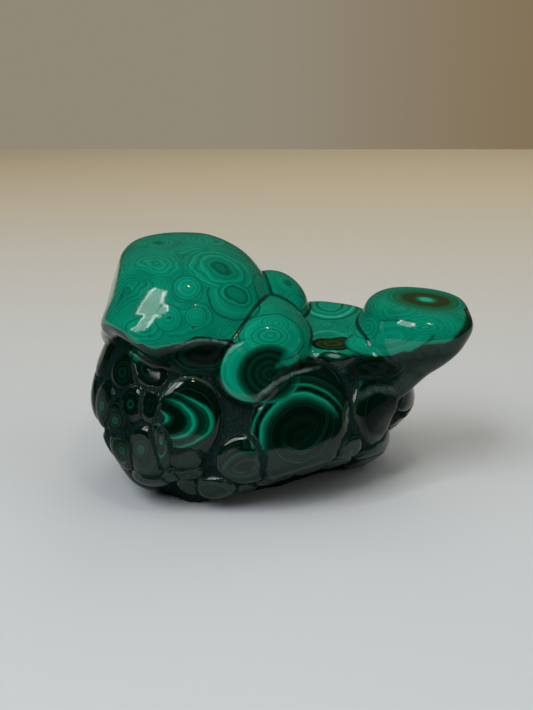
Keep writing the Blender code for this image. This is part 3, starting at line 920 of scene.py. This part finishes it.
def top_colour(do, where, bent, shapes):
    """Rings round hidden middles, which run on round the placed eyes."""
    distance = do.times(do.cell_distance(bent, 1 / CELL), CELL)
    for name in EYES:
        place, axes, radii = shapes[name]
        out = do.length(local_place(do, bent, place, axes, radii))
        distance = do.math("SMOOTH_MIN", distance, do.times(out, mean_radius(radii)), EYE_BLEND)
    lines = do.noise_line(do.times(distance, TOP_BANDS), *TOP_LINES)
    top = do.ramp(lines, TOP_STOPS)
    return do.scaled(top, do.step(do.noise(where, *TOP_CLOUDS), *TOP_TONES))


def lobe_colour(do, where, bent, clear):
    """Dark rings that follow each lobe's outline, here and there a green one."""
    out = do.times(do.value("ring"), do.value("size"))
    out = do.math("MULTIPLY_ADD", do.noise(where, *LOBE_WAVER), LOBE_WAVER_REACH, out)
    steps = do.math("MULTIPLY_ADD", do.value("tone"), LOBE_OWN, do.times(out, LOBE_BANDS))
    lobes = do.ramp(do.noise_line(steps, *LOBE_LINES), LOBE_STOPS)
    plain = do.ramp(do.noise(bent, *PLAIN_CLOUDS), PLAIN_STOPS)
    lobes = do.mix(do.step(clear, *PLAIN_CLEAR), lobes, plain)
    return do.scaled(lobes, do.step(do.part(where, "Z"), *LOW_TONES))


def light_share(do, where, rise, clear):
    """1 on the light green polished top, 0 on the dark lower slopes, and 0 where it faces down:
    painted shade.
    """
    along, back, height = (do.part(where, axis) for axis in "XYZ")
    past_neck = do.above(along, NECK_X)
    past_crown = do.math("MAXIMUM", do.math("SUBTRACT", CROWN_X, along), 0.0)
    behind = do.above(back, BACK_Y)
    level = do.math("MULTIPLY_ADD", do.times(past_neck, past_neck), NECK_RISE, height)
    level = do.math("MULTIPLY_ADD", past_crown, CROWN_RISE, level)
    level = do.math("MULTIPLY_ADD", behind, BACK_FALL, level)
    ragged = do.math("MULTIPLY_ADD", do.noise(where, *RAGGED_NOISE), RAGGED, -RAGGED / 2)
    high_up = do.step(do.math("ADD", level, ragged), *LIGHT_EDGE)
    upward = do.step(do.math("MULTIPLY_ADD", behind, BACK_TILT, rise), *SHADING_TILT)
    off_lobes = do.math("MAXIMUM", do.step(clear, *LIGHT_CLEAR), do.step(height, *LIGHT_ON_LOBES))
    return do.times(do.times(upward, high_up), off_lobes)


def paint_specks(do, where, bent, light, under):
    """Small brown pits here and there on the light top."""
    specks = do.times(do.step(do.cell_distance(bent, SPECK_SCALE), *SPECK_SIZE),
                     do.step(do.noise(where, *SPECK_NOISE), *SPECK_STEP))
    return do.mix(do.times(specks, light), under, BROWN)


def paint_creases(do, height, under):
    """Dark lines where the top's swellings meet."""
    crease = do.times(do.step(do.value("crease"), *CREASE_WIDTH), do.step(height, *CREASE_FROM))
    return do.mix(do.times(crease, CREASE_SHARE), under, BLACK)


def matrix_share(do, where, height, grain, clear):
    """1 in the rough matrix and in the seams where lobes touch, 0 on the polish."""
    gap = do.math("MULTIPLY_ADD", do.noise(where, *SEAM_NOISE), SEAM_NOISE_REACH, do.value("seam"))
    low_down = do.times(do.step(height, *SEAM_BELOW), do.step(clear, *SEAM_CLEAR))
    seam = do.times(do.step(gap, *SEAM_WIDTH), low_down)
    matrix = do.step(do.math("MULTIPLY_ADD", grain, ROUGH_NOISE, do.value("sunk")), *ROUGH_FROM)
    return do.math("MAXIMUM", matrix, seam)


def matrix_colour(do, where, grain):
    earth = do.ramp(grain, GRAIN_STOPS)
    return do.mix(do.step(do.noise(where, *SPECKLE_NOISE), *SPECKLE_STEP), earth, ASH)


def gloss_share(do, where, rise, rough_share, field):
    """How strongly the surface mirrors: less below, on dull spots and in the matrix."""
    gloss = do.step(rise, *GLOSS_BY_TILT)
    for entry in DULL.values():
        place, axes, radii = ellipse_shape(entry, field)
        out = do.length(local_place(do, where, place, axes, radii))
        gloss = do.times(gloss, do.step(out, *DULL_EDGE))
    return do.times(gloss, do.step(rough_share, 0.0, 1.0, 1.0, MATRIX_GLOSS))


def make_stone_material(field):
    material = bpy.data.materials.new("banded_malachite")
    material.use_nodes = True
    do = Recipe(material.node_tree)
    where = do.scaled(do.put("TexCoord", {}, {}).outputs["Object"], 1 / MM)
    bent = where
    for bend in BENDS:
        bent = do.added(bent, do.sway(where, *bend))
    height = do.part(where, "Z")
    normal = do.put("NewGeometry", {}, {}).outputs["Normal"]
    rise = do.part(normal, "Z")
    clear = do.value("clear")
    shapes = {name: ellipse_shape(entry[:5], field)
              for name, entry in (EYES | DARK_EYES).items()}

    # the light green top, with painted shade where it faces down
    light = light_share(do, where, rise, clear)
    colour = do.mix(light, lobe_colour(do, where, bent, clear),
                    top_colour(do, where, bent, shapes))
    colour = paint_eyes(do, where, colour, DARK_EYES, shapes)
    colour = paint_eyes(do, where, colour, EYES, shapes)
    colour = paint_tip_eye(do, where, colour, field)
    # painted highlights on ridges and lobe edges, and pale pitted rims
    colour = paint_highlights_and_rims(do, where, colour, normal, field)
    colour = paint_specks(do, where, bent, light, colour)
    colour = paint_creases(do, height, colour)
    grain = do.noise(where, *GRAIN_NOISE)
    rough_share = matrix_share(do, where, height, grain, clear)
    colour = do.mix(rough_share, colour, matrix_colour(do, where, grain))

    shine = do.tree.nodes["Principled BSDF"]
    do.feed(shine.inputs["Base Color"], colour)
    smears = do.step(do.noise(where, *SMEAR_NOISE), *SMEAR_STEP)
    roughness = do.step(rough_share, 0.0, 1.0, POLISH_ROUGHNESS, MATRIX_ROUGHNESS)
    do.feed(shine.inputs["Roughness"], do.math("ADD", smears, roughness))
    shine.inputs["IOR"].default_value = IOR
    do.feed(shine.inputs["Specular IOR Level"], gloss_share(do, where, rise, rough_share, field))
    grains = do.times(do.times(grain, rough_share), GRAIN_HEIGHT)
    scratches = do.times(do.noise(where, *SCRATCH_NOISE), SCRATCH_HEIGHT)
    bump = do.put("Bump", {}, {"Height": do.math("ADD", grains, scratches), "Distance": MM,
                               "Strength": RELIEF})
    do.feed(shine.inputs["Normal"], bump.outputs["Normal"])
    return material


# ---------------- room, in metres
FLOOR_REACH = 3.0  # the floor reaches this far in front and to the sides
FLOOR_BACK = 1.01  # and this far behind the stone
FLOOR_FADE = (-0.1, 0.9)  # Y over which its colour changes from near to far
FLOOR_NEAR = (0.60, 0.65, 0.69, 1)
FLOOR_FAR = (0.78, 0.685, 0.50, 1)
FLAG_Y = -0.36  # the dark screen's place, half width, lower and upper edge
FLAG_REACH = 1.5
FLAG_LOW = 0.001
FLAG_HIGH = 0.25
FLAG_COLOUR = (0.002, 0.002, 0.002, 1)

# the dim room that the polish mirrors, from below the horizon to overhead, and its lighter end
ROOM_STOPS = ((0.45, (0.008, 0.008, 0.008, 1)), (0.6, (0.01, 0.01, 0.01, 1)),
              (0.8, (0.02, 0.02, 0.019, 1)))
ROOM_END = (0.045, 0.038, 0.028, 1)
ROOM_END_FADE = (0.3, 0.9)
# the wall that the camera sees, from left to right
WALL_LEFT = (0.285, 0.25, 0.19, 1)
# the warmer right side is painted warm lamplight
WALL_RIGHT = (0.225, 0.165, 0.092, 1)
WALL_FADE = (-0.05, 0.30)

LIGHTS_AIM = (0, 0, 0.05)
WHITE = (1.0, 1.0, 1.0)
# lights: place, size, power in watts, colour, and whether the polish mirrors them
LIGHTS = {
    "window": ((-0.48, -0.60, 0.80), (0.46, 0.66), 4.4, WHITE, True),
    "window_left": ((-0.64, -0.44, 0.80), (0.04, 0.66), 1.2, WHITE, True),
    "window_right": ((-0.28, -0.72, 0.86), (0.12, 0.40), 1.6, WHITE, True),
    "lamp": ((0.3, -0.5, 1.2), (0.10, 0.10), 1.2, (1.0, 0.78, 0.5), True),
    "ceiling": ((0.1, -0.1, 1.3), (2.2, 2.2), 9.8, (1.0, 0.98, 0.95), False),
    "fill": ((0.9, -0.4, 0.5), (0.9, 0.9), 2.0, (1.0, 0.97, 0.93), False),
    "back_lamp": ((0.3, 0.9, 0.9), (0.8, 0.8), 2.0, (1.0, 0.86, 0.62), False),
}


def make_sheet(name, reach, near, far, material_name, roughness, gloss):
    """A flat sheet of the room, from X = -reach to reach and between two edges given by Y and Z;
    gives its object and its material's tree."""
    corners = [(-reach, *near), (reach, *near), (reach, *far), (-reach, *far)]
    mesh = bpy.data.meshes.new(name)
    mesh.from_pydata(corners, [], [(0, 1, 2, 3)])
    sheet = bpy.data.objects.new(name, mesh)
    bpy.context.scene.collection.objects.link(sheet)
    material = bpy.data.materials.new(material_name)
    material.use_nodes = True
    surface = material.node_tree.nodes["Principled BSDF"]
    surface.inputs["Roughness"].default_value = roughness
    surface.inputs["Specular IOR Level"].default_value = gloss
    mesh.materials.append(material)
    return sheet, material.node_tree


def make_floor():
    floor, tree = make_sheet("floor", FLOOR_REACH, (-FLOOR_REACH, 0), (FLOOR_BACK, 0),
                             "pale_floor", 0.9, 0.1)
    do = Recipe(tree)
    place = do.put("NewGeometry", {}, {}).outputs["Position"]
    back = do.step(do.part(place, "Y"), *FLOOR_FADE)
    do.feed(tree.nodes["Principled BSDF"].inputs["Base Color"],
            do.mix(back, FLOOR_NEAR, FLOOR_FAR))


def make_flag():
    """A dark screen in front that only the stone's polish shows."""
    flag, tree = make_sheet("flag", FLAG_REACH, (FLAG_Y, FLAG_LOW), (FLAG_Y, FLAG_HIGH),
                            "dark_screen", 1.0, 0.0)
    tree.nodes["Principled BSDF"].inputs["Base Color"].default_value = FLAG_COLOUR
    flag.visible_camera = False
    flag.visible_diffuse = False
    flag.visible_shadow = False


def make_lights():
    for name, (place, size, power, colour, mirrored) in LIGHTS.items():
        data = bpy.data.lights.new(name, "AREA")
        data.shape = "RECTANGLE"
        data.size, data.size_y = size
        data.energy = power
        data.color = colour
        light = bpy.data.objects.new(name, data)
        light.location = place
        aim = Vector(LIGHTS_AIM) - Vector(place)
        light.rotation_euler = aim.to_track_quat("-Z", "Y").to_euler()
        light.visible_glossy = mirrored
        bpy.context.scene.collection.objects.link(light)


def make_world():
    """A dim room all round, and a plain pale wall where the camera sees past the floor."""
    world = bpy.data.worlds.new("soft_studio")
    bpy.context.scene.world = world
    world.use_nodes = True
    do = Recipe(world.node_tree)
    towards = do.put("TexCoord", {}, {}).outputs["Generated"]
    right, ahead, rise = (do.part(towards, axis) for axis in "XYZ")
    room = do.ramp(do.math("MULTIPLY_ADD", rise, 0.5, 0.5), ROOM_STOPS)
    room = do.mix(do.step(ahead, *ROOM_END_FADE), room, ROOM_END)
    wall = do.mix(do.step(right, *WALL_FADE), WALL_LEFT, WALL_RIGHT)
    seen = do.put("LightPath", {}, {}).outputs["Is Camera Ray"]
    sky = do.tree.nodes["Background"]
    do.feed(sky.inputs["Color"], do.mix(seen, room, wall))
    sky.inputs["Strength"].default_value = 1.0


def make_camera():
    data = bpy.data.cameras.new("camera")
    data.sensor_fit = "VERTICAL"
    data.sensor_height = SENSOR_HEIGHT
    data.lens = FOCAL * SENSOR_HEIGHT / PICTURE[1]
    data.clip_start = NEAREST
    camera = bpy.data.objects.new("camera", data)
    camera.location = ((CAMERA[0] - CENTRE_X) * MM, (CAMERA[1] - CENTRE_Y) * MM, CAMERA[2] * MM)
    camera.rotation_euler = (math.pi / 2 - PITCH, 0, 0)
    bpy.context.scene.collection.objects.link(camera)
    bpy.context.scene.camera = camera


def main():
    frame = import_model()
    lobes = front_lobes()
    lobes += scattered_lobes(lobes)

    def field(points):
        return soft_cut(stone(points, lobes), -points[:, 2], BASE_EDGE)

    skin = make_skin(frame["nodes"][NAME], lobes, field)
    skin.data.materials.append(make_stone_material(field))
    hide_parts(NAME)
    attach(skin, "root")
    make_floor()
    make_flag()
    make_world()
    make_lights()
    make_camera()
    bpy.context.scene.view_settings.view_transform = "Standard"


main()
